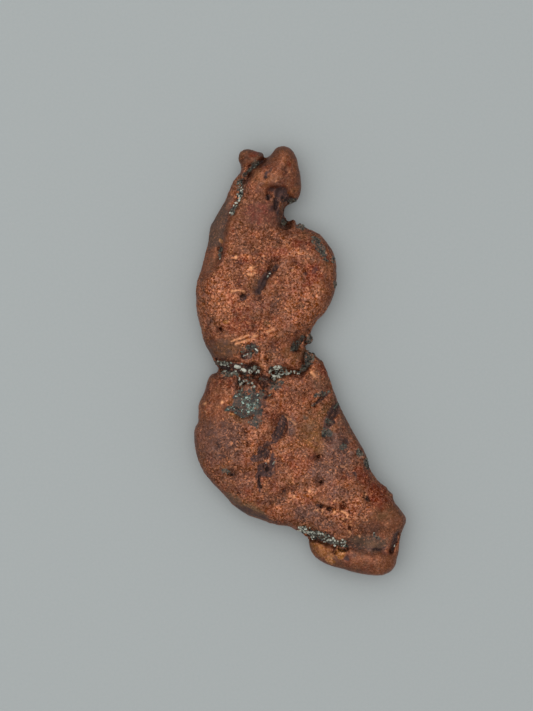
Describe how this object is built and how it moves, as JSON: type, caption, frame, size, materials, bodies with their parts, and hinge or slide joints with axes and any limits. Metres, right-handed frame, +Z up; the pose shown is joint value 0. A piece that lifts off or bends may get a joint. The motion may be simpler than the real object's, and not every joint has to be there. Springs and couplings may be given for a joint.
{
  "type": "native copper nugget",
  "caption": "Waisted, flattened nugget of native copper with a narrow head, rounded lobes, seams, pits and worn rims; lies flat as a mineral specimen or paperweight.",
  "frame": {"origin": "centre of the bounding box in plan, on the plane of the worn flats that the nugget lies on", "axes": "+Y along the nugget towards its narrow head, +Z up from the surface it lies on, +X to the right seen from above with the head away"},
  "size_m": [0.0322, 0.065, 0.0075],
  "materials": {
    "native_copper": "dull, oxidised native copper with bright worn grains"
  },
  "bodies": {
    "root": {"copper_nugget": "native_copper"}
  },
  "joints": []
}
